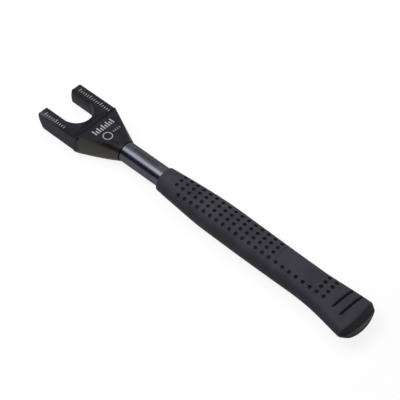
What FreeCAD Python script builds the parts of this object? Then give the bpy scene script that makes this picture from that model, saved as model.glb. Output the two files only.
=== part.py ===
"""Open-jaw separator spanner: a machined steel fork on a tubular steel handle with a moulded rubber grip.

Millimetres, +Z up. The origin is the centre of a round stud seated in the jaw, on the
head's middle plane. +X runs from the jaw along the handle to the butt, +Y across the jaw.
"""
import FreeCAD, Part
import math
import os

V = FreeCAD.Vector

# ---------------------------------------------------------------- driving dimensions
JAW_OPENING = 36.0          # across the two flats of the slot
JAW_WIDTH = 60.0            # across the outside of the two prongs
JAW_THICKNESS = 18.0        # prongs, top to bottom
NECK_THICKNESS = 23.5       # the stock the head is cut from
TIP_X = -26.2               # crown of the prongs' ends
NOSE_R = 26.0               # side-view rounding of those ends
SLOT_BOTTOM_X = 18.0        # deepest point of the slot's round bottom
RAMP_FRONT_X = 24.3         # the jaw's flat ends here and rises to the neck's flat
RAMP_BACK_X = 29.3
NECK_END_X = 70.0           # rear face of the neck, round the tube
NECK_END_R = 11.8           # radius of the turned cone at that face
CONE_SLOPE = 0.45           # growth of the cone's radius per millimetre towards the jaw
TIP_ROUND_R = 7.0           # outer corner of each prong's end, at the bottom face
TIP_TOP_ROUND_R = 0.8       # and at the top face
EDGE_BREAK = 0.4

TUBE_R = 11.0               # outside radius of the handle tube
TUBE_WALL = 2.0
SOCKET_DEPTH = 32.0         # blind socket in the neck that the tube is pressed into
SOCKET_CHAMFER = 0.4

GRIP_FRONT_X = 123.5        # front lip of the rubber
GRIP_LIP_R = 1.2            # rounding of that lip
GRIP_BUTT_X = 372.0         # crown of the closed, domed end of the rubber
GRIP_FLOOR = 52.0           # solid rubber behind the plugged tube, where the grip is thin
GRIP_BUTT_R = 4.0           # rounding all round the butt
BUTT_DOME_R = 60.0          # plan radius of the domed butt
BUTT_DOME_Y = -4.0          # where the dome is highest
VENT_R = 1.6                # hole through the butt, left by the mould's core pin

# Stations along the grip: x, reach towards +Y, reach towards -Y, half thickness,
# squareness of the oval section (2 is an ellipse).
GRIP_STATIONS = (
    (123.5, 12.6, 14.3, 12.8, 2.0),
    (133.0, 13.0, 15.2, 13.2, 2.15),
    (150.0, 14.2, 16.7, 13.6, 2.3),
    (180.0, 15.8, 19.4, 14.1, 2.5),
    (205.0, 16.2, 20.2, 14.2, 2.5),
    (240.0, 15.2, 20.9, 14.1, 2.5),
    (275.0, 14.2, 21.2, 13.6, 2.5),
    (300.0, 13.9, 21.4, 13.1, 2.5),
    (315.0, 13.9, 22.4, 12.6, 2.5),
    (330.0, 15.0, 24.6, 12.1, 2.5),
    (345.0, 16.2, 27.7, 11.6, 2.45),
    (358.0, 16.9, 30.4, 11.4, 2.4),
    (376.0, 17.0, 32.6, 11.1, 2.4),
)

GROOVE_XS = (343.2, 353.4)  # middles of the two finger grooves near the butt
GROOVE_LEAN = 6.0           # degrees the grooves are turned towards the butt at +Y
GROOVE_WIDTH = 1.6
GROOVE_DEPTH = 1.5
GROOVE_REACH_Y = (-18.0, 20.0)

PLUG_LENGTH = 12.0          # plug that closes the tube's rear end
PLUG_FLANGE = 2.0

# ---------------------------------------------------------------- helpers


def cylinder_x(radius, x0, x1):
    """Round bar along X from x0 to x1."""
    return Part.makeCylinder(radius, x1 - x0, V(x0, 0, 0), V(1, 0, 0))


def box(x0, x1, y0, y1, z0, z1):
    """Block between two opposite corners."""
    return Part.makeBox(x1 - x0, y1 - y0, z1 - z0, V(x0, y0, z0))


def save(shape, node):
    """Write one sub-part as a STEP file named after its node."""
    shape = shape.removeSplitter()
    if not shape.isValid() or shape.Volume <= 0:
        raise RuntimeError(node + " is not a valid solid")
    print(node, "solids", len(shape.Solids), "volume", round(shape.Volume), "mm3")
    shape.exportStep(os.path.join("parts", node + ".step"))


# ---------------------------------------------------------------- fork head


def flat_stock():
    """Flat bar with a rounded nose, thinned over the jaw, with a ramp up to the neck."""
    jaw, neck = JAW_THICKNESS / 2, NECK_THICKNESS / 2
    nose_x = TIP_X + NOSE_R - math.sqrt(NOSE_R ** 2 - jaw ** 2)
    upper = [(nose_x, jaw), (RAMP_FRONT_X, jaw), (RAMP_BACK_X, neck), (NECK_END_X, neck)]
    outline = upper + [(x, -z) for x, z in reversed(upper)]
    corners = [V(x, -JAW_WIDTH / 2, z) for x, z in outline]
    nose = Part.Arc(corners[-1], V(TIP_X, -JAW_WIDTH / 2, 0), corners[0]).toShape()
    side_view = Part.Face(Part.Wire([*Part.makePolygon(corners).Edges, nose]))
    return side_view.extrude(V(0, JAW_WIDTH, 0))


def neck_cone():
    """Turned envelope that brings the flat bar down to the round end at the tube."""
    length = NECK_END_X - TIP_X
    wide_r = NECK_END_R + CONE_SLOPE * length
    return Part.makeCone(wide_r, NECK_END_R, length, V(TIP_X, 0, 0), V(1, 0, 0))


def jaw_slot():
    """Slot with parallel flats, open at the tips and round at its bottom."""
    half = JAW_OPENING / 2
    mouth = TIP_X - 5
    centre = SLOT_BOTTOM_X - half
    edges = [
        Part.makeLine(V(mouth, -half, 0), V(centre, -half, 0)),
        Part.Arc(V(centre, -half, 0), V(SLOT_BOTTOM_X, 0, 0), V(centre, half, 0)).toShape(),
        Part.makeLine(V(centre, half, 0), V(mouth, half, 0)),
        Part.makeLine(V(mouth, half, 0), V(mouth, -half, 0)),
    ]
    face = Part.Face(Part.Wire(edges))
    face.translate(V(0, 0, -NECK_THICKNESS))
    return face.extrude(V(0, 0, 2 * NECK_THICKNESS))


def is_sharp_outline(edge):
    """True for the outline edges that are broken: not the ramp's creases or the slot's seams."""
    reach = edge.BoundBox
    crease = reach.XLength < 0.01 and reach.XMin > TIP_X + 3
    return not crease


def rounded_tips(head):
    """Round the outer corner of each prong's end, more and more towards the bottom face."""
    for side in (-1, 1):
        corners = []
        for edge in head.Edges:
            reach = edge.BoundBox
            at_tip = reach.XMax < TIP_X + 3 and reach.YLength < 0.01
            if at_tip and abs(reach.YMin - side * JAW_WIDTH / 2) < 0.01:
                corners.append(edge)
        low_first = corners[0].Vertexes[0].Z < 0
        radii = (TIP_ROUND_R, TIP_TOP_ROUND_R) if low_first else (TIP_TOP_ROUND_R, TIP_ROUND_R)
        head = head.makeFillet(radii[0], radii[1], corners)
    return head


def fork_head():
    """The one-piece steel head: jaw, ramp, coned neck and blind socket."""
    head = rounded_tips(flat_stock().cut(jaw_slot()))
    head = head.makeChamfer(EDGE_BREAK, [e for e in head.Edges if is_sharp_outline(e)])
    head = head.common(neck_cone())
    socket = cylinder_x(TUBE_R, NECK_END_X - SOCKET_DEPTH, NECK_END_X)
    lead_in = Part.makeCone(TUBE_R, TUBE_R + SOCKET_CHAMFER, SOCKET_CHAMFER,
                            V(NECK_END_X - SOCKET_CHAMFER, 0, 0), V(1, 0, 0))
    return head.cut(socket).cut(lead_in)


# ---------------------------------------------------------------- handle


def handle_tube():
    """Plain drawn tube from the socket's floor to the rear plug."""
    x0, x1 = NECK_END_X - SOCKET_DEPTH, GRIP_BUTT_X - GRIP_FLOOR - PLUG_FLANGE
    return cylinder_x(TUBE_R, x0, x1).cut(cylinder_x(TUBE_R - TUBE_WALL, x0, x1))


def tube_end_plug():
    """Flanged plug that closes the tube so its rim can't cut the rubber."""
    rim_x = GRIP_BUTT_X - GRIP_FLOOR - PLUG_FLANGE
    shank = cylinder_x(TUBE_R - TUBE_WALL, rim_x - PLUG_LENGTH, rim_x)
    return shank.fuse(cylinder_x(TUBE_R, rim_x, rim_x + PLUG_FLANGE))


def grip_section(x, plus_y, minus_y, half_z, squareness, shrink=0.0):
    """Closed oval outline at one station, lopsided towards -Y."""
    count = 28
    points = []
    for i in range(count):
        turn = 2 * math.pi * i / count
        reach = (plus_y if math.cos(turn) > 0 else minus_y) - shrink
        half = half_z - shrink
        angle = math.atan2(half * math.sin(turn), reach * math.cos(turn))
        c, s = math.cos(angle), math.sin(angle)
        radius = (abs(c / reach) ** squareness + abs(s / half) ** squareness) ** (-1 / squareness)
        points.append(V(x, radius * c, radius * s))
    curve = Part.BSplineCurve()
    curve.interpolate(points, True)
    return Part.Wire([curve.toShape()])


def grip_body(shrink=0.0):
    """Smooth loft through the grip's stations."""
    return Part.makeLoft([grip_section(*row, shrink=shrink) for row in GRIP_STATIONS], True, False)


def butt_trim():
    """What is taken off the loft's rear end to leave it gently domed."""
    block = box(GRIP_BUTT_X - 30, GRIP_BUTT_X + 10, -50, 50, -20, 20)
    dome = Part.makeCylinder(BUTT_DOME_R, 40, V(GRIP_BUTT_X - BUTT_DOME_R, BUTT_DOME_Y, -20))
    return block.cut(dome)


def rubber_grip():
    """Moulded sleeve with a closed, flared butt, two grooves a side and a vent."""
    grip = grip_body().cut(butt_trim())
    rim = [e for e in grip.Edges if e.BoundBox.XMin > GRIP_BUTT_X - 20]
    lip = [e for e in grip.Edges if e.BoundBox.XMax < GRIP_FRONT_X + 0.01]
    grip = grip.makeFillet(GRIP_BUTT_R, rim).makeFillet(GRIP_LIP_R, lip)
    core = grip_body(shrink=GROOVE_DEPTH)
    y0, y1 = GROOVE_REACH_Y
    for x in GROOVE_XS:
        for z0, z1 in ((0, 20), (-20, 0)):
            slab = box(x - GROOVE_WIDTH / 2, x + GROOVE_WIDTH / 2, y0, y1, z0, z1)
            slab.rotate(V(x, 0, 0), V(0, 0, 1), -GROOVE_LEAN)
            grip = grip.cut(slab.cut(core))
    bore = cylinder_x(TUBE_R, GRIP_FRONT_X - 5, GRIP_BUTT_X - GRIP_FLOOR)
    vent = cylinder_x(VENT_R, GRIP_BUTT_X - GRIP_FLOOR, GRIP_BUTT_X + 1)
    return grip.cut(bore).cut(vent)


# ---------------------------------------------------------------- output

os.makedirs("parts", exist_ok=True)
save(fork_head(), "fork_head")
save(handle_tube(), "handle_tube")
save(tube_end_plug(), "tube_end_plug")
save(rubber_grip(), "rubber_grip")
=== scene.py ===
"""Looks for an open-jaw separator spanner: blackened steel fork, dark plated tube, moulded rubber grip.

Metres, in the part's own frame: +X runs from the jaw along the handle to the butt, +Y across
the jaw, +Z up out of the jaw's top face. The origin is the centre of a stud seated in the jaw.
"""

import math

import bmesh
import bpy
from mathutils import Matrix, Vector


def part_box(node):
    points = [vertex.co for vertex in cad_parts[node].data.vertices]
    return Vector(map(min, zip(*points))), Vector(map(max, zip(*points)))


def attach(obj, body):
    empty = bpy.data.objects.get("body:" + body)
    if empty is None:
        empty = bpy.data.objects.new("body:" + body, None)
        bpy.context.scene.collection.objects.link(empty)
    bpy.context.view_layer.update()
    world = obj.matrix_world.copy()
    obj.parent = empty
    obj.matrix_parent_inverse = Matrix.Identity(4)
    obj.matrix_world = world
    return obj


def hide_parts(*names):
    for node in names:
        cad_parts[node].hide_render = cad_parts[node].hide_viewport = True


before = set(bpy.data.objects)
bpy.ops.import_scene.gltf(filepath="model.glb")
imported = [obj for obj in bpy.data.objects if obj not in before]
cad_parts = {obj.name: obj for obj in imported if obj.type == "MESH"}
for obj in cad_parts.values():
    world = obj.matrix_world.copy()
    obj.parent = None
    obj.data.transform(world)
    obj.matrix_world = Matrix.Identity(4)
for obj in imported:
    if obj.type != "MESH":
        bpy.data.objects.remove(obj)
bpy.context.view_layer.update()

MM = 0.001

# ---------------------------------------------------------------- places read from the frame
head_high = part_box("fork_head")[1]
tube_low, tube_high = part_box("handle_tube")
grip_low, grip_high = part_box("rubber_grip")

TUBE_R = (tube_high.z - tube_low.z) / 2
NECK_TOP_Z = head_high.z            # the neck's upper flat
JAW_TOP_Z = 9.0 * MM                # the prongs' upper face
PRONG_Y = 24.0 * MM                 # middle of a prong's 12 mm width
GRIP_FRONT_X = grip_low.x
GRIP_BUTT_X = grip_high.x
FLOOR_Z = grip_low.z                # the tool lies on the fattest part of its grip

# ---------------------------------------------------------------- the grip's moulding
# Stations along the grip, mm: x, reach towards +Y, reach towards -Y, half thickness,
# squareness of the oval section (2 is an ellipse).
GRIP_STATIONS = (
    (123.5, 12.6, 14.3, 12.8, 2.0),
    (133.0, 13.0, 15.2, 13.2, 2.15),
    (150.0, 14.2, 16.7, 13.6, 2.3),
    (180.0, 15.8, 19.4, 13.98, 2.5),
    (205.0, 16.2, 20.2, 14.05, 2.5),
    (240.0, 15.2, 20.9, 13.98, 2.5),
    (275.0, 14.2, 21.2, 13.6, 2.5),
    (300.0, 13.9, 21.4, 13.1, 2.5),
    (315.0, 13.9, 22.4, 12.6, 2.5),
    (330.0, 15.0, 24.6, 12.1, 2.5),
    (345.0, 16.2, 27.7, 11.6, 2.45),
    (358.0, 16.9, 30.4, 11.4, 2.4),
    (376.0, 17.0, 32.6, 11.1, 2.4),
)
LIP_R = 0.7                         # rounding of the front lip
BUTT_BEVEL = 5.0                    # bevel all round the butt
BUTT_TOP_LENGTH = 0.7               # share by which the bevel is longer on the flat faces
FACE_DISH = 0.5                     # the end face lies this far below its rim
BUTT_DOME_R = 60.0                  # plan radius of the domed butt face
BUTT_DOME_Y = -4.0                  # where that dome is highest
VENT_R = 1.6                        # hole left by the mould's core pin
GRIP_FLOOR = 52.0                   # solid rubber behind the tube's plug
GROOVE_XS = (343.2, 353.4)          # middles of the two finger grooves, where they cross y = 0
GROOVE_SLANT = 0.1                  # their drift towards the butt per millimetre of y
GROOVE_HALF_WIDTH = 1.15
GROOVE_DEPTH = 2.0
GROOVE_END_YS = (-17.5, -19.5)      # the grooves run out here on the heel side
PANEL_X = (269.0, 317.0)            # smooth panel let into both faces
PANEL_ANGLES = (38.0, 143.0)        # its edges, as directions seen along the handle
PANEL_DEPTH = 0.35
PARTING_HEIGHT = 0.25               # flash line where the mould's halves met
PARTING_HALF_WIDTH = 0.45

DIMPLE_PITCH = 8.037
DIMPLE_FIRST_X = 144.0
DIMPLE_COLUMNS = 24
DIMPLE_ROWS = 5
DIMPLE_ROW_PITCH = 6.6
DIMPLE_R = 1.7
DIMPLE_DEPTH = 2.1


# ---------------------------------------------------------------- small helpers


def linear(code):
    """An sRGB hex colour as a linear RGBA tuple."""
    channels = [int(code[i:i + 2], 16) / 255 for i in (1, 3, 5)]
    return tuple(c / 12.92 if c <= 0.04045 else ((c + 0.055) / 1.055) ** 2.4 for c in channels) + (1.0,)


def add_node(tree, kind, inputs=None, **settings):
    """Add one node. inputs maps a socket's name or number to a value or another node's output."""
    node = tree.nodes.new(kind)
    for name, value in settings.items():
        setattr(node, name, value)
    for socket, value in (inputs or {}).items():
        if isinstance(value, bpy.types.NodeSocket):
            tree.links.new(value, node.inputs[socket])
        else:
            node.inputs[socket].default_value = value
    return node


def smoothstep(low, high, value):
    """0 below low, 1 above high, smooth in between."""
    t = min(1.0, max(0.0, (value - low) / (high - low)))
    return t * t * (3 - 2 * t)


def mesh_object(name, points, faces, material):
    """A mesh object with its place in its mesh, smooth-shaded with crisp edges."""
    mesh = bpy.data.meshes.new(name)
    mesh.from_pydata(points, [], faces)
    mesh.update()
    made = bpy.data.objects.new(name, mesh)
    bpy.context.scene.collection.objects.link(made)
    mesh.materials.append(material)
    shade(mesh)
    return made


def shade(mesh, crisp_above=32.0):
    """Smooth shading, with edges sharper than the angle kept crisp."""
    mesh.polygons.foreach_set("use_smooth", [True] * len(mesh.polygons))
    mesh.set_sharp_from_angle(angle=math.radians(crisp_above))


def finish_piece(piece, slot, *nodes):
    """Hang a finished piece on the tool and hide the CAD nodes it stands in for."""
    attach(piece, "root")
    if nodes:
        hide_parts(*nodes)
    return piece


# ---------------------------------------------------------------- materials


def new_material(name):
    """An empty node material with its Principled shader and object-space coordinates."""
    material = bpy.data.materials.new(name)
    material.use_nodes = True
    tree = material.node_tree
    tree.nodes.clear()
    shader = add_node(tree, "ShaderNodeBsdfPrincipled")
    add_node(tree, "ShaderNodeOutputMaterial", {"Surface": shader.outputs[0]})
    place = add_node(tree, "ShaderNodeTexCoord").outputs["Object"]
    return material, tree, shader, place


def blend_colours(tree, factor, low, high):
    """Colour output that goes from one hex colour to another."""
    ramp = add_node(tree, "ShaderNodeMix", {0: factor, 6: linear(low), 7: linear(high)}, data_type="RGBA")
    return ramp.outputs[2]


def grain(tree, place, size_mm, stretch=(1, 1, 1), detail=2.0):
    """Noise whose grain is size_mm, drawn out along the axes whose stretch is above 1."""
    scale = tuple(1000 / (size_mm * s) for s in stretch)
    mapped = add_node(tree, "ShaderNodeMapping", {"Vector": place, "Scale": scale})
    noise = add_node(tree, "ShaderNodeTexNoise",
                     {"Vector": mapped.outputs[0], "Scale": 1.0, "Detail": detail, "Roughness": 0.55})
    return noise.outputs[0]


def remap(tree, value, low, high, new_low, new_high):
    """Value from one range to another, clamped."""
    node = add_node(tree, "ShaderNodeMapRange", {0: value, 1: low, 2: high, 3: new_low, 4: new_high})
    return node.outputs[0]


def blackened_steel():
    """Black-oxide steel, milled and turned: dark satin, with the cutter's fine lines across it, a painted floor
    reflection on the neck's cone and painted shade on faces looking along -X.
    """
    material, tree, shader, place = new_material("black_oxide_machined_steel")
    cutter = grain(tree, place, 0.35, stretch=(1, 30, 30))
    cloud = grain(tree, place, 9.0, detail=3.0)
    colour = blend_colours(tree, remap(tree, cloud, 0.35, 0.65, 0, 1), "#28272D", "#302F36")
    facing = add_node(tree, "ShaderNodeTexCoord").outputs["Normal"]
    lean = add_node(tree, "ShaderNodeSeparateXYZ", {0: facing}).outputs[0]
    # painted reflection: faces whose normal leans about 0.34 to 0.47 towards +X, the neck's turned cone, get a
    # brown tone standing in for the floor reflected in them
    turned = add_node(tree, "ShaderNodeMath", {0: remap(tree, lean, 0.3, 0.38, 0, 1),
                                               1: remap(tree, lean, 0.44, 0.5, 1, 0)}, operation="MULTIPLY")
    cone_painted_reflection = add_node(tree, "ShaderNodeMix", {0: turned.outputs[0], 6: colour, 7: linear("#403D3A")},
                     data_type="RGBA")
    # painted shade: faces looking back along -X, such as the slot's seat wall and the prong tips, are darkened
    # to near black as if in shadow
    seat_painted_shade = add_node(tree, "ShaderNodeMix", {0: remap(tree, lean, -0.05, -0.4, 0, 1), 6: cone_painted_reflection.outputs[2],
                                            7: linear("#0C0C0F")}, data_type="RGBA")
    tree.links.new(seat_painted_shade.outputs[2], shader.inputs["Base Color"])
    shader.inputs["Specular Tint"].default_value = (0.68, 0.68, 0.70, 1.0)
    rough = remap(tree, cutter, 0.3, 0.7, 0.30, 0.38)
    tree.links.new(rough, shader.inputs["Roughness"])
    bump = add_node(tree, "ShaderNodeBump", {"Height": cutter, "Distance": 0.012 * MM, "Strength": 0.6})
    tree.links.new(bump.outputs[0], shader.inputs["Normal"])
    shader.inputs["Metallic"].default_value = 1.0
    return material


def plated_tube():
    """Drawn steel tube with a dark nickel plate: bright, with faint lines along its length."""
    material, tree, shader, place = new_material("dark_nickel_plated_tube")
    drawn = grain(tree, place, 0.3, stretch=(60, 1, 1))
    cloud = grain(tree, place, 14.0, detail=3.0)
    colour = blend_colours(tree, remap(tree, cloud, 0.35, 0.65, 0, 1), "#4A4B53", "#525359")
    tree.links.new(colour, shader.inputs["Base Color"])
    rough = remap(tree, drawn, 0.3, 0.7, 0.21, 0.27)
    tree.links.new(rough, shader.inputs["Roughness"])
    bump = add_node(tree, "ShaderNodeBump", {"Height": drawn, "Distance": 0.002 * MM, "Strength": 0.4})
    tree.links.new(bump.outputs[0], shader.inputs["Normal"])
    shader.inputs["Specular Tint"].default_value = (0.5, 0.5, 0.52, 1.0)
    shader.inputs["Metallic"].default_value = 1.0
    return material


def moulded_rubber():
    """Nitrile rubber from a blasted mould: matt, soft-edged, very slightly mottled, with painted shade on the
    butt's bevel and in the grooves and dimples, and painted light on the butt's end face.
    """
    material, tree, shader, place = new_material("matt_moulded_nitrile_rubber")
    blasted = grain(tree, place, 0.5)
    cloud = grain(tree, place, 22.0, detail=3.0)
    colour = blend_colours(tree, remap(tree, cloud, 0.35, 0.65, 0, 1), "#2F2D35", "#37353E")
    facing = add_node(tree, "ShaderNodeTexCoord").outputs["Normal"]
    towards_butt = add_node(tree, "ShaderNodeSeparateXYZ", {0: facing}).outputs[0]
    # painted shade: the bevel round the butt, picked out by its normal leaning towards +X, is darkened as if
    # turned away from the light
    bevel_painted_shade = add_node(tree, "ShaderNodeMix", {0: remap(tree, towards_butt, 0.25, 0.5, 0, 1), 6: colour,
                                             7: linear("#201F24")}, data_type="RGBA")
    # painted light: the butt's end face, picked out by its normal pointing along +X, gets a lighter grey-brown
    # standing in for the light it catches
    face = add_node(tree, "ShaderNodeMix", {0: remap(tree, towards_butt, 0.78, 0.9, 0, 1), 6: bevel_painted_shade.outputs[2],
                                            7: linear("#4E4B4A")}, data_type="RGBA")
    # painted shade: faces marked as groove bottoms or dimple holes are darkened to near black, standing in for
    # the shadow inside them
    pit_shade_mask = add_node(tree, "ShaderNodeAttribute", attribute_name="pit_shade_mask").outputs["Fac"]
    pit_painted_shade = add_node(tree, "ShaderNodeMix", {0: pit_shade_mask, 6: face.outputs[2], 7: linear("#040405")},
                      data_type="RGBA")
    tree.links.new(pit_painted_shade.outputs[2], shader.inputs["Base Color"])
    rough = remap(tree, blasted, 0.3, 0.7, 0.58, 0.70)
    tree.links.new(rough, shader.inputs["Roughness"])
    bump = add_node(tree, "ShaderNodeBump", {"Height": blasted, "Distance": 0.05 * MM, "Strength": 0.5})
    tree.links.new(bump.outputs[0], shader.inputs["Normal"])
    shader.inputs["Specular IOR Level"].default_value = 0.15
    return material


def etched_steel():
    """Laser-etched marking: the oxide burnt off to pale, frosted steel."""
    material, tree, shader, place = new_material("laser_etched_steel")
    frost = grain(tree, place, 0.25)
    colour = blend_colours(tree, remap(tree, frost, 0.3, 0.7, 0, 1), "#8E8E92", "#ABABAE")
    tree.links.new(colour, shader.inputs["Base Color"])
    shader.inputs["Roughness"].default_value = 0.6
    shader.inputs["Metallic"].default_value = 0.2
    return material


def stamped_steel():
    """Ink-filled stamping, dark against the tube."""
    material, tree, shader, place = new_material("ink_filled_stamping")
    worn = grain(tree, place, 0.6)
    colour = blend_colours(tree, remap(tree, worn, 0.35, 0.65, 0, 1), "#08080A", "#1C1C20")
    tree.links.new(colour, shader.inputs["Base Color"])
    shader.inputs["Roughness"].default_value = 0.6
    shader.inputs["Specular IOR Level"].default_value = 0.08
    return material


def moulded_plug_plastic():
    """Black polyethylene plug, moulded: waxy and slightly glossy."""
    material, tree, shader, place = new_material("black_moulded_polyethylene")
    waxy = grain(tree, place, 1.5)
    colour = blend_colours(tree, remap(tree, waxy, 0.3, 0.7, 0, 1), "#1E1E20", "#262628")
    tree.links.new(colour, shader.inputs["Base Color"])
    shader.inputs["Roughness"].default_value = 0.5
    return material


def seen_directly(tree):
    """1 for rays from the camera, a mirror or glass, and 0 for soft light."""
    path = add_node(tree, "ShaderNodeLightPath")
    first = add_node(tree, "ShaderNodeMath",
                     {0: path.outputs["Is Camera Ray"], 1: path.outputs["Is Glossy Ray"]},
                     operation="MAXIMUM")
    both = add_node(tree, "ShaderNodeMath", {0: first.outputs[0], 1: path.outputs["Is Transmission Ray"]},
                    operation="MAXIMUM")
    return both.outputs[0]


def paper_floor():
    """White paper sweep: reads as white, and keeps a soft shadow."""
    material = bpy.data.materials.new("white_paper_sweep")
    material.use_nodes = True
    tree = material.node_tree
    tree.nodes.clear()
    paper = add_node(tree, "ShaderNodeBsdfDiffuse", {"Color": linear("#545454")})
    faint = add_node(tree, "ShaderNodeBsdfDiffuse", {"Color": linear("#646464")})
    glow = add_node(tree, "ShaderNodeEmission", {"Color": (1, 1, 1, 1), "Strength": 0.87})
    shown = add_node(tree, "ShaderNodeAddShader", {0: faint.outputs[0], 1: glow.outputs[0]})
    mix = add_node(tree, "ShaderNodeMixShader",
                   {0: seen_directly(tree), 1: paper.outputs[0], 2: shown.outputs[0]})
    add_node(tree, "ShaderNodeOutputMaterial", {"Surface": mix.outputs[0]})
    return material


def black_card():
    """Matt navy-black card, the flag that draws the dark band along bright metal."""
    material = bpy.data.materials.new("navy_black_card")
    material.use_nodes = True
    tree = material.node_tree
    tree.nodes.clear()
    tone = add_node(tree, "ShaderNodeEmission", {"Color": linear("#434A6B"), "Strength": 1.0})
    add_node(tree, "ShaderNodeOutputMaterial", {"Surface": tone.outputs[0]})
    return material


# ---------------------------------------------------------------- fork head


def merged_copy(node, name, material):
    """A CAD node's own shape with its loose triangles joined, smooth where it is curved."""
    work = bmesh.new()
    work.from_mesh(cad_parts[node].data)
    bmesh.ops.remove_doubles(work, verts=work.verts, dist=1e-6)
    mesh = bpy.data.meshes.new(name)
    work.to_mesh(mesh)
    work.free()
    mesh.materials.clear()
    mesh.materials.append(material)
    made = bpy.data.objects.new(name, mesh)
    bpy.context.scene.collection.objects.link(made)
    shade(mesh, 20.0)
    return made


# ---------------------------------------------------------------- handle tube


def lathe(name, outline, material, segments=96):
    """Closed solid turned about X from an outline of (x, radius) points, in order round it."""
    points, faces = [], []
    for x, radius in outline:
        for k in range(segments):
            angle = 2 * math.pi * k / segments
            points.append((x, radius * math.cos(angle), radius * math.sin(angle)))
    rows = len(outline)
    for i in range(rows):
        a, b = i * segments, (i + 1) % rows * segments
        for k in range(segments):
            n = (k + 1) % segments
            faces.append((a + k, b + k, b + n, a + n))
    return mesh_object(name, points, faces, material)


# ---------------------------------------------------------------- rubber grip


def station(x, column):
    """One value of the grip's profile at x, on a smooth curve through the stations."""
    rows = GRIP_STATIONS
    x = min(max(x, rows[0][0]), rows[-1][0])
    i = next(k for k in range(len(rows) - 1) if x <= rows[k + 1][0])

    def slope(k):
        a, b = rows[max(k - 1, 0)], rows[min(k + 1, len(rows) - 1)]
        return (b[column] - a[column]) / (b[0] - a[0])

    span = rows[i + 1][0] - rows[i][0]
    t = (x - rows[i][0]) / span
    p, q = rows[i][column], rows[i + 1][column]
    m, n = slope(i) * span, slope(i + 1) * span
    return ((2 * t ** 3 - 3 * t ** 2 + 1) * p + (t ** 3 - 2 * t ** 2 + t) * m
            + (3 * t ** 2 - 2 * t ** 3) * q + (t ** 3 - t ** 2) * n)


def section_point(x, angle, inset=0.0):
    """Point (y, z) in mm of the oval section at x, in the direction angle from +Y."""
    c, s = math.cos(angle), math.sin(angle)
    reach = station(x, 1 if c > 0 else 2) - inset
    half = station(x, 3) - inset
    n = station(x, 4)
    radius = ((abs(c) / reach) ** n + (abs(s) / half) ** n) ** (-1 / n)
    return radius * c, radius * s


def groove_depth(x, y):
    """Depth of the slanted grooves at a point of the surface, steep-sided towards the butt."""
    depth = 0.0
    for middle, end_y in zip(GROOVE_XS, GROOVE_END_YS):
        away = (x - middle - GROOVE_SLANT * y) / GROOVE_HALF_WIDTH
        across = 1 - smoothstep(0.35, 1.1 if away > 0 else 1.5, abs(away))
        along = smoothstep(end_y, end_y + 3.0, y) * (1 - smoothstep(11.5, 14.0, y))
        depth = max(depth, across * along)
    return GROOVE_DEPTH * depth


def panel_depth(x, angle):
    """Depth of the smooth panels let into the top and bottom faces."""
    degrees = abs(math.degrees(angle)) if angle <= math.pi else abs(360 - math.degrees(angle))
    along = smoothstep(PANEL_X[0], PANEL_X[0] + 1, x) * (1 - smoothstep(PANEL_X[1] - 1, PANEL_X[1], x))
    low, high = PANEL_ANGLES
    across = smoothstep(low, low + 2.5, degrees) * (1 - smoothstep(high - 2.5, high, degrees))
    return PANEL_DEPTH * along * across


def ring_places():
    """Places along the grip for the rings of its mesh, closer where the surface changes fast."""
    places = [GRIP_STATIONS[0][0] + LIP_R]
    x = places[0]
    fast = [(m - 3.6, m + 3.2, 0.28) for m in GROOVE_XS] + [(e - 1.2, e + 1.2, 0.3) for e in PANEL_X]
    while x < GRIP_BUTT_X / MM - BUTT_BEVEL - 6:
        step = 1.5
        for low, high, fine in fast:
            if low - 1.5 < x < high:
                step = fine if x >= low else min(step, max(0.3, low - x))
        x += step
        places.append(x)
    return places


def ring_angles():
    """Directions round the section, closer at the parting line."""
    step = 2.5
    near = (-1.5, -0.9, -0.4, 0.0, 0.4, 0.9, 1.5)
    degrees = [step * k for k in range(int(360 / step)) if k * step % 180]
    degrees += [(middle + d) % 360 for middle in (0, 180) for d in near]
    return [math.radians(d) for d in sorted(degrees)]


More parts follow.
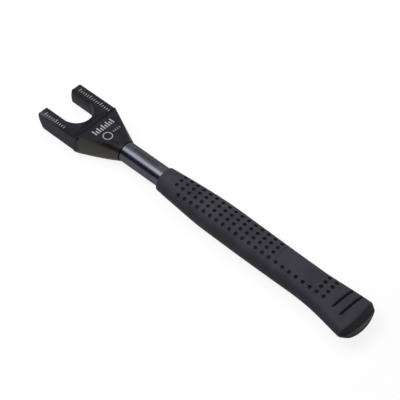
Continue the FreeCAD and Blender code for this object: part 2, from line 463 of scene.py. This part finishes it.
def grip_body(material):
    """The sleeve without its dimples: lip, swelling, grooves, panels, domed butt, vent and bore."""
    angles = ring_angles()
    front, butt = GRIP_STATIONS[0][0], GRIP_BUTT_X / MM
    rings = []
    for k in range(6):
        turn = math.radians(90 * k / 6)
        x, inset = front + LIP_R * (1 - math.cos(turn)), LIP_R * (1 - math.sin(turn))
        rings.append([(x, *section_point(x, a, inset)) for a in angles])
    places = ring_places()
    ease_from = places[-1] - 6
    for x in places:
        ring = []
        for a in angles:
            y, z = section_point(x, a)
            pushed = x + butt_lag(y) * smoothstep(ease_from - 10, places[-1], x)
            inset = groove_depth(pushed, y) + panel_depth(x, a)
            if abs(z) < PARTING_HALF_WIDTH:
                inset -= PARTING_HEIGHT * (1 - (z / PARTING_HALF_WIDTH) ** 2)
            ring.append((pushed, *section_point(pushed, a, inset)))
        rings.append(ring)
    for back, inset in ((5.2, 0.0), (4.5, 0.1), (3.9, 0.4), (3.4, 0.9), (2.0, 2.2), (0.8, 3.4),
                        (0.2, 4.0), (0.0, 4.2), (0.0, 4.7), (FACE_DISH, 5.0)):
        ring = []
        for a in angles:
            y, z = section_point(butt, a, inset)
            flat = min(1.0, abs(z) / (station(butt, 3) - inset))
            x = butt + butt_lag(y) - back * (1 + BUTT_TOP_LENGTH * flat ** 2)
            ring.append((x, *section_point(x, a, inset)))
        rings.append(ring)
    rim = rings[-1]
    for k in range(1, 9):
        ring = []
        for (x, y, z), a in zip(rim, angles):
            y += (VENT_R * math.cos(a) - y) * k / 8
            z += (VENT_R * math.sin(a) - z) * k / 8
            ring.append((butt + butt_lag(y) - FACE_DISH, y, z))
        rings.append(ring)
    floor_x, bore = butt - GRIP_FLOOR, TUBE_R / MM
    for x, radius in ((floor_x, VENT_R), (floor_x, bore), (front, bore)):
        rings.append([(x, radius * math.cos(a), radius * math.sin(a)) for a in angles])
    points = [Vector(p) * MM for ring in rings for p in ring]
    count, faces = len(angles), []
    for i in range(len(rings)):
        a, b = i * count, (i + 1) % len(rings) * count
        for k in range(count):
            n = (k + 1) % count
            faces.append((a + k, b + k, b + n, a + n))
    body = mesh_object("rubber_sleeve_body", points, faces, material)
    # mask for painted shade: faces deep in the finger grooves are marked so the rubber material darkens them
    pit_shade_mask = body.data.attributes.new("pit_shade_mask", "FLOAT", "FACE")
    for face in body.data.polygons:
        depth = groove_depth(face.center.x / MM, face.center.y / MM)
        pit_shade_mask.data[face.index].value = smoothstep(0.3, 0.8, depth / GROOVE_DEPTH)
    return body


def butt_lag(y):
    """How far the domed butt face stands back from its crown at y, in mm (negative)."""
    return math.sqrt(BUTT_DOME_R ** 2 - (y - BUTT_DOME_Y) ** 2) - BUTT_DOME_R


def dimple_tree(material):
    """Geometry Nodes: pins on a grid, dropped on both faces of the grip and cut out of it."""
    tree = bpy.data.node_groups.new("dimple_pins", "GeometryNodeTree")
    face = tree.interface
    face.new_socket("Geometry", in_out="OUTPUT", socket_type="NodeSocketGeometry")
    face.new_socket("Geometry", in_out="INPUT", socket_type="NodeSocketGeometry")
    for name, value in (("Pitch", DIMPLE_PITCH * MM), ("Row Pitch", DIMPLE_ROW_PITCH * MM),
                        ("First X", DIMPLE_FIRST_X * MM), ("Radius", DIMPLE_R * MM),
                        ("Depth", DIMPLE_DEPTH * MM), ("Panel Start", PANEL_X[0] * MM),
                        ("Panel End", PANEL_X[1] * MM)):
        socket = face.new_socket(name, in_out="INPUT", socket_type="NodeSocketFloat")
        socket.default_value = value
    start = add_node(tree, "NodeGroupInput").outputs

    def maths(operation, a, b=0.0):
        return add_node(tree, "ShaderNodeMath", {0: a, 1: b}, operation=operation).outputs[0]

    def vector(x=0.0, y=0.0, z=0.0):
        return add_node(tree, "ShaderNodeCombineXYZ", {0: x, 1: y, 2: z}).outputs[0]

    length = maths("MULTIPLY", start["Pitch"], DIMPLE_COLUMNS - 1)
    width = maths("MULTIPLY", start["Row Pitch"], DIMPLE_ROWS - 1)
    grid = add_node(tree, "GeometryNodeMeshGrid",
                    {"Size X": length, "Size Y": width,
                      "Vertices X": DIMPLE_COLUMNS, "Vertices Y": DIMPLE_ROWS})
    middle = maths("ADD", start["First X"], maths("DIVIDE", length, 2.0))
    sheets = []
    for height in (0.05, -0.05):
        moved = add_node(tree, "GeometryNodeTransform",
                         {"Geometry": grid.outputs[0], "Translation": vector(middle, 0.0, height)})
        sheets.append(moved.outputs[0])
    both = add_node(tree, "GeometryNodeJoinGeometry")
    for sheet in sheets:
        tree.links.new(sheet, both.inputs[0])

    place = add_node(tree, "GeometryNodeInputPosition").outputs[0]
    split = add_node(tree, "ShaderNodeSeparateXYZ", {0: place}).outputs
    outer = maths("GREATER_THAN", maths("ABSOLUTE", split[1]), maths("MULTIPLY", start["Row Pitch"], 1.5))
    inner = maths("SUBTRACT", 1.0, outer)
    in_panel = maths("MULTIPLY", maths("GREATER_THAN", split[0], start["Panel Start"]),
                     maths("LESS_THAN", split[0], start["Panel End"]))
    half_pitch = maths("DIVIDE", start["Pitch"], 2.0)
    at_front = maths("LESS_THAN", split[0], maths("ADD", start["First X"], half_pitch))
    left_out = maths("ADD", maths("MULTIPLY", inner, in_panel), maths("MULTIPLY", outer, at_front))
    kept = add_node(tree, "GeometryNodeDeleteGeometry",
                    {"Geometry": both.outputs[0], "Selection": left_out})

    ray = add_node(tree, "GeometryNodeRaycast",
                    {"Target Geometry": start["Geometry"],
                     "Ray Direction": vector(0.0, 0.0, maths("MULTIPLY", split[2], -1.0)),
                    "Ray Length": 1.0})
    turned = add_node(tree, "FunctionNodeAlignRotationToVector", {"Vector": ray.outputs["Hit Normal"]}, axis="Z")
    # each point keeps the lean of the surface under it, then moves down on to that surface
    stored = add_node(tree, "GeometryNodeStoreNamedAttribute",
                      {"Geometry": kept.outputs[0], "Name": "lean", "Value": turned.outputs[0]},
                      data_type="QUATERNION", domain="POINT")
    dropped = add_node(tree, "GeometryNodeSetPosition",
                       {"Geometry": stored.outputs[0], "Position": ray.outputs["Hit Position"]})

    pin = add_node(tree, "GeometryNodeMeshCylinder",
                   {"Vertices": 16, "Side Segments": 6, "Radius": start["Radius"],
                    "Depth": maths("MULTIPLY", start["Depth"], 1.4)})
    lowered = add_node(tree, "GeometryNodeTransform",
                       {"Geometry": pin.outputs["Mesh"],
                        "Translation": vector(0.0, 0.0, maths("MULTIPLY", start["Depth"], -0.3))})
    tall = add_node(tree, "ShaderNodeSeparateXYZ",
                    {0: add_node(tree, "GeometryNodeInputPosition").outputs[0]}).outputs
    flare = add_node(tree, "ShaderNodeMapRange",
                     {0: tall[2], 1: -0.35 * MM, 2: 0.35 * MM, 3: 0.0, 4: 0.34}, interpolation_type="SMOOTHSTEP")
    pinch = add_node(tree, "ShaderNodeMapRange",
                     {0: tall[2], 1: maths("MULTIPLY", start["Depth"], -1.0),
                      2: maths("MULTIPLY", start["Depth"], -0.7), 3: -0.32, 4: 0.0})
    swell = maths("ADD", maths("ADD", flare.outputs[0], pinch.outputs[0]), 1.0)
    shaped = add_node(tree, "GeometryNodeSetPosition",
                      {"Geometry": lowered.outputs[0],
                       "Position": vector(maths("MULTIPLY", tall[0], swell), maths("MULTIPLY", tall[1], swell), tall[2])})
    lean = add_node(tree, "GeometryNodeInputNamedAttribute", {"Name": "lean"}, data_type="QUATERNION")
    # mask for painted shade: the pins' faces are marked, so the holes they cut come out darkened by the rubber
    # material
    marked = add_node(tree, "GeometryNodeStoreNamedAttribute",
                      {"Geometry": shaped.outputs[0], "Name": "pit_shade_mask", "Value": 1.0},
                      data_type="FLOAT", domain="FACE")
    pins = add_node(tree, "GeometryNodeInstanceOnPoints",
                    {"Points": dropped.outputs[0], "Instance": marked.outputs[0], "Rotation": lean.outputs[0]})
    solid = add_node(tree, "GeometryNodeRealizeInstances", {0: pins.outputs[0]})
    cut = add_node(tree, "GeometryNodeMeshBoolean",
                   {"Mesh 1": start["Geometry"], "Mesh 2": solid.outputs[0]},
                   operation="DIFFERENCE", solver="MANIFOLD")
    whole = add_node(tree, "GeometryNodeRealizeInstances", {0: cut.outputs[0]})
    dressed = add_node(tree, "GeometryNodeSetMaterial",
                       {"Geometry": whole.outputs[0], "Material": material})
    add_node(tree, "NodeGroupOutput", {0: dressed.outputs[0]})
    return tree


def rubber_grip(material):
    """The whole grip as one plain mesh."""
    body = grip_body(material)
    modifier = body.modifiers.new("dimples", "NODES")
    modifier.node_group = dimple_tree(material)
    graph = bpy.context.evaluated_depsgraph_get()
    mesh = bpy.data.meshes.new_from_object(body.evaluated_get(graph))
    body.modifiers.clear()
    mesh.name = "rubber_sleeve"
    made = bpy.data.objects.new("rubber_sleeve", mesh)
    bpy.context.scene.collection.objects.link(made)
    bpy.data.objects.remove(body)
    shade(mesh)
    return made


# ---------------------------------------------------------------- etched marks


def bar(x0, x1, y0, y1, z):
    """Four corners of a flat mark."""
    return [Vector((x0, y0, z)), Vector((x1, y0, z)), Vector((x1, y1, z)), Vector((x0, y1, z))]


def etched_marks(material):
    """Plain marks: graduations along both prongs, a bar row, a ring and ticks on the neck."""
    lift = 0.02 * MM
    jaw_z, neck_z = JAW_TOP_Z + lift, NECK_TOP_Z + lift
    patches = []
    for k in range(15):
        x = (-18.5 + 3 * k) * MM
        tall = (4.6 if k % 5 == 0 else 2.8) * MM
        patches.append(bar(x, x + 0.7 * MM, PRONG_Y - 2.3 * MM, PRONG_Y - 2.3 * MM + tall, jaw_z))
    for k in range(10):
        x = (-19.0 + 3 * k) * MM
        tall = (4.6 if k % 5 == 0 else 2.8) * MM
        patches.append(bar(x, x + 0.7 * MM, -PRONG_Y - 3.2 * MM, -PRONG_Y - 3.2 * MM + tall, jaw_z))
    for k in range(9):
        y = (-13.0 + 3.1 * k) * MM
        long = (7.0 if k % 2 == 0 else 4.6) * MM
        patches.append(bar(41.5 * MM - long, 41.5 * MM, y, y + 1.5 * MM, neck_z))
    for k in range(4):
        y = (3.0 + 2.8 * k) * MM
        patches.append(bar(48.6 * MM, 50.6 * MM, y, y + 0.8 * MM, neck_z))
    for k in range(36):
        corners = []
        for radius, turn in ((4.3, k), (5.3, k), (5.3, k + 1), (4.3, k + 1)):
            angle = math.radians(10 * turn)
            corners.append(Vector((50 + radius * math.cos(angle), -5.5 + radius * math.sin(angle), 0)) * MM
                           + Vector((0, 0, neck_z)))
        patches.append(corners)
    points = [p for corners in patches for p in corners]
    faces = [tuple(range(4 * i, 4 * i + 4)) for i in range(len(patches))]
    return mesh_object("etched_marks", points, faces, material)


def stamped_row(material):
    """A row of plain dashes stamped along the top of the tube."""
    points, faces = [], []
    radius = TUBE_R + 0.02 * MM
    for k in range(13):
        x = (82 + 2.5 * k) * MM
        for j in range(6):
            angle = math.radians(80 + 3 * j)
            for along in (0.0, 1.1 * MM):
                points.append((x + along, radius * math.cos(angle), radius * math.sin(angle)))
        base = 12 * k
        faces += [(base + 2 * j, base + 2 * j + 1, base + 2 * j + 3, base + 2 * j + 2) for j in range(5)]
    return mesh_object("stamped_tube_marks", points, faces, material)


# ---------------------------------------------------------------- studio


def flat_panel(name, centre, facing, width, height, material):
    """A flat rectangle, used for the floor and the card."""
    turn = facing.to_track_quat("Z", "Y").to_matrix()
    half_x, half_y = turn @ Vector((width / 2, 0, 0)), turn @ Vector((0, height / 2, 0))
    corners = [centre - half_x - half_y, centre + half_x - half_y,
               centre + half_x + half_y, centre - half_x + half_y]
    made = mesh_object(name, corners, [(0, 1, 2, 3)], material)
    return made


def area_lamp(name, place, target, width, height, power, colour="#FFFFFF"):
    """A softbox that looks at target. It is seen in reflections, not by the camera."""
    data = bpy.data.lights.new(name, "AREA")
    data.shape = "RECTANGLE"
    data.size, data.size_y = width, height
    data.energy = power
    data.color = linear(colour)[:3]
    lamp = bpy.data.objects.new(name, data)
    bpy.context.scene.collection.objects.link(lamp)
    lamp.location = place
    lamp.rotation_mode = "QUATERNION"
    lamp.rotation_quaternion = (place - target).to_track_quat("Z", "Y")
    lamp.visible_camera = False
    return lamp


def studio():
    """Floor, world, softboxes and the card."""
    middle = Vector((0.15, 0.0, 0.0))
    flat_panel("paper_sweep", Vector((0.15, 0, FLOOR_Z)), Vector((0, 0, 1)), 12.0, 12.0, paper_floor())
    card = flat_panel("flag_card", Vector((-0.35, -0.9, 0.58)), Vector((0, 1, 0)), 3.2, 1.14, black_card())
    card.visible_camera = False
    card.visible_diffuse = False
    card.visible_shadow = False
    area_lamp("overhead_softbox", middle + Vector((-0.55, -0.60, 1.15)), middle, 1.7, 0.64, 13.5)
    fill = area_lamp("overhead_fill", middle + Vector((-0.45, 0.15, 1.30)), middle, 1.7, 0.8, 13.5)
    fill.visible_glossy = False
    world = bpy.data.worlds.new("studio_room")
    bpy.context.scene.world = world
    world.use_nodes = True
    tree = world.node_tree
    tree.nodes.clear()
    dim = add_node(tree, "ShaderNodeBackground", {"Color": (1, 1, 1, 1), "Strength": 0.12})
    pale = add_node(tree, "ShaderNodeBackground", {"Color": (1, 1, 1, 1), "Strength": 1.0})
    mix = add_node(tree, "ShaderNodeMixShader",
                   {0: seen_directly(tree), 1: dim.outputs[0], 2: pale.outputs[0]})
    add_node(tree, "ShaderNodeOutputWorld", {"Surface": mix.outputs[0]})


def camera():
    """Camera to the right of the butt and above it, looking back along the tool."""
    place = Vector((612.73, -585.65, 863.20)) * MM
    azimuth, elevation, roll = (math.radians(a) for a in (37.164, 49.444, 5.113))
    back = Vector((math.cos(elevation) * math.sin(azimuth), -math.cos(elevation) * math.cos(azimuth),
                   math.sin(elevation)))
    level = Vector((math.cos(azimuth), math.sin(azimuth), 0))
    upright = back.cross(level)
    right = level * math.cos(roll) + upright * math.sin(roll)
    up = back.cross(right)
    data = bpy.data.cameras.new("camera")
    data.sensor_width = 36.0
    data.lens = 104.693
    data.clip_start, data.clip_end = 0.05, 50.0
    made = bpy.data.objects.new("camera", data)
    bpy.context.scene.collection.objects.link(made)
    made.matrix_world = Matrix.Translation(place) @ Matrix((right, up, back)).transposed().to_4x4()
    bpy.context.scene.camera = made


# ---------------------------------------------------------------- put together

camera()
studio()
bpy.context.scene.view_settings.view_transform = "Standard"

steel = blackened_steel()
finish_piece(merged_copy("fork_head", "machined_fork_head", steel), "head_steel", "fork_head")

WALL, EDGE = 2.0 * MM, 0.3 * MM
inner = TUBE_R - WALL
RELIEF = (head_high.x - 0.1 * MM, head_high.x + 1.1 * MM)     # undercut that shows dark beside the neck
RELIEF_DEPTH = 0.7 * MM
tube_outline = [(tube_low.x, inner), (tube_low.x, TUBE_R),
                (RELIEF[0], TUBE_R), (RELIEF[0], TUBE_R - RELIEF_DEPTH), (RELIEF[1], TUBE_R - RELIEF_DEPTH),
                (RELIEF[1], TUBE_R), (tube_high.x - EDGE, TUBE_R),
                (tube_high.x, TUBE_R - EDGE), (tube_high.x, inner)]
finish_piece(lathe("drawn_handle_tube", tube_outline, plated_tube()), "tube_steel", "handle_tube")

plug_piece = merged_copy("tube_end_plug", "moulded_end_plug", moulded_plug_plastic())
finish_piece(plug_piece, "end_plug", "tube_end_plug")
finish_piece(rubber_grip(moulded_rubber()), "grip_rubber", "rubber_grip")
finish_piece(etched_marks(etched_steel()), "head_steel")
finish_piece(stamped_row(stamped_steel()), "tube_steel")
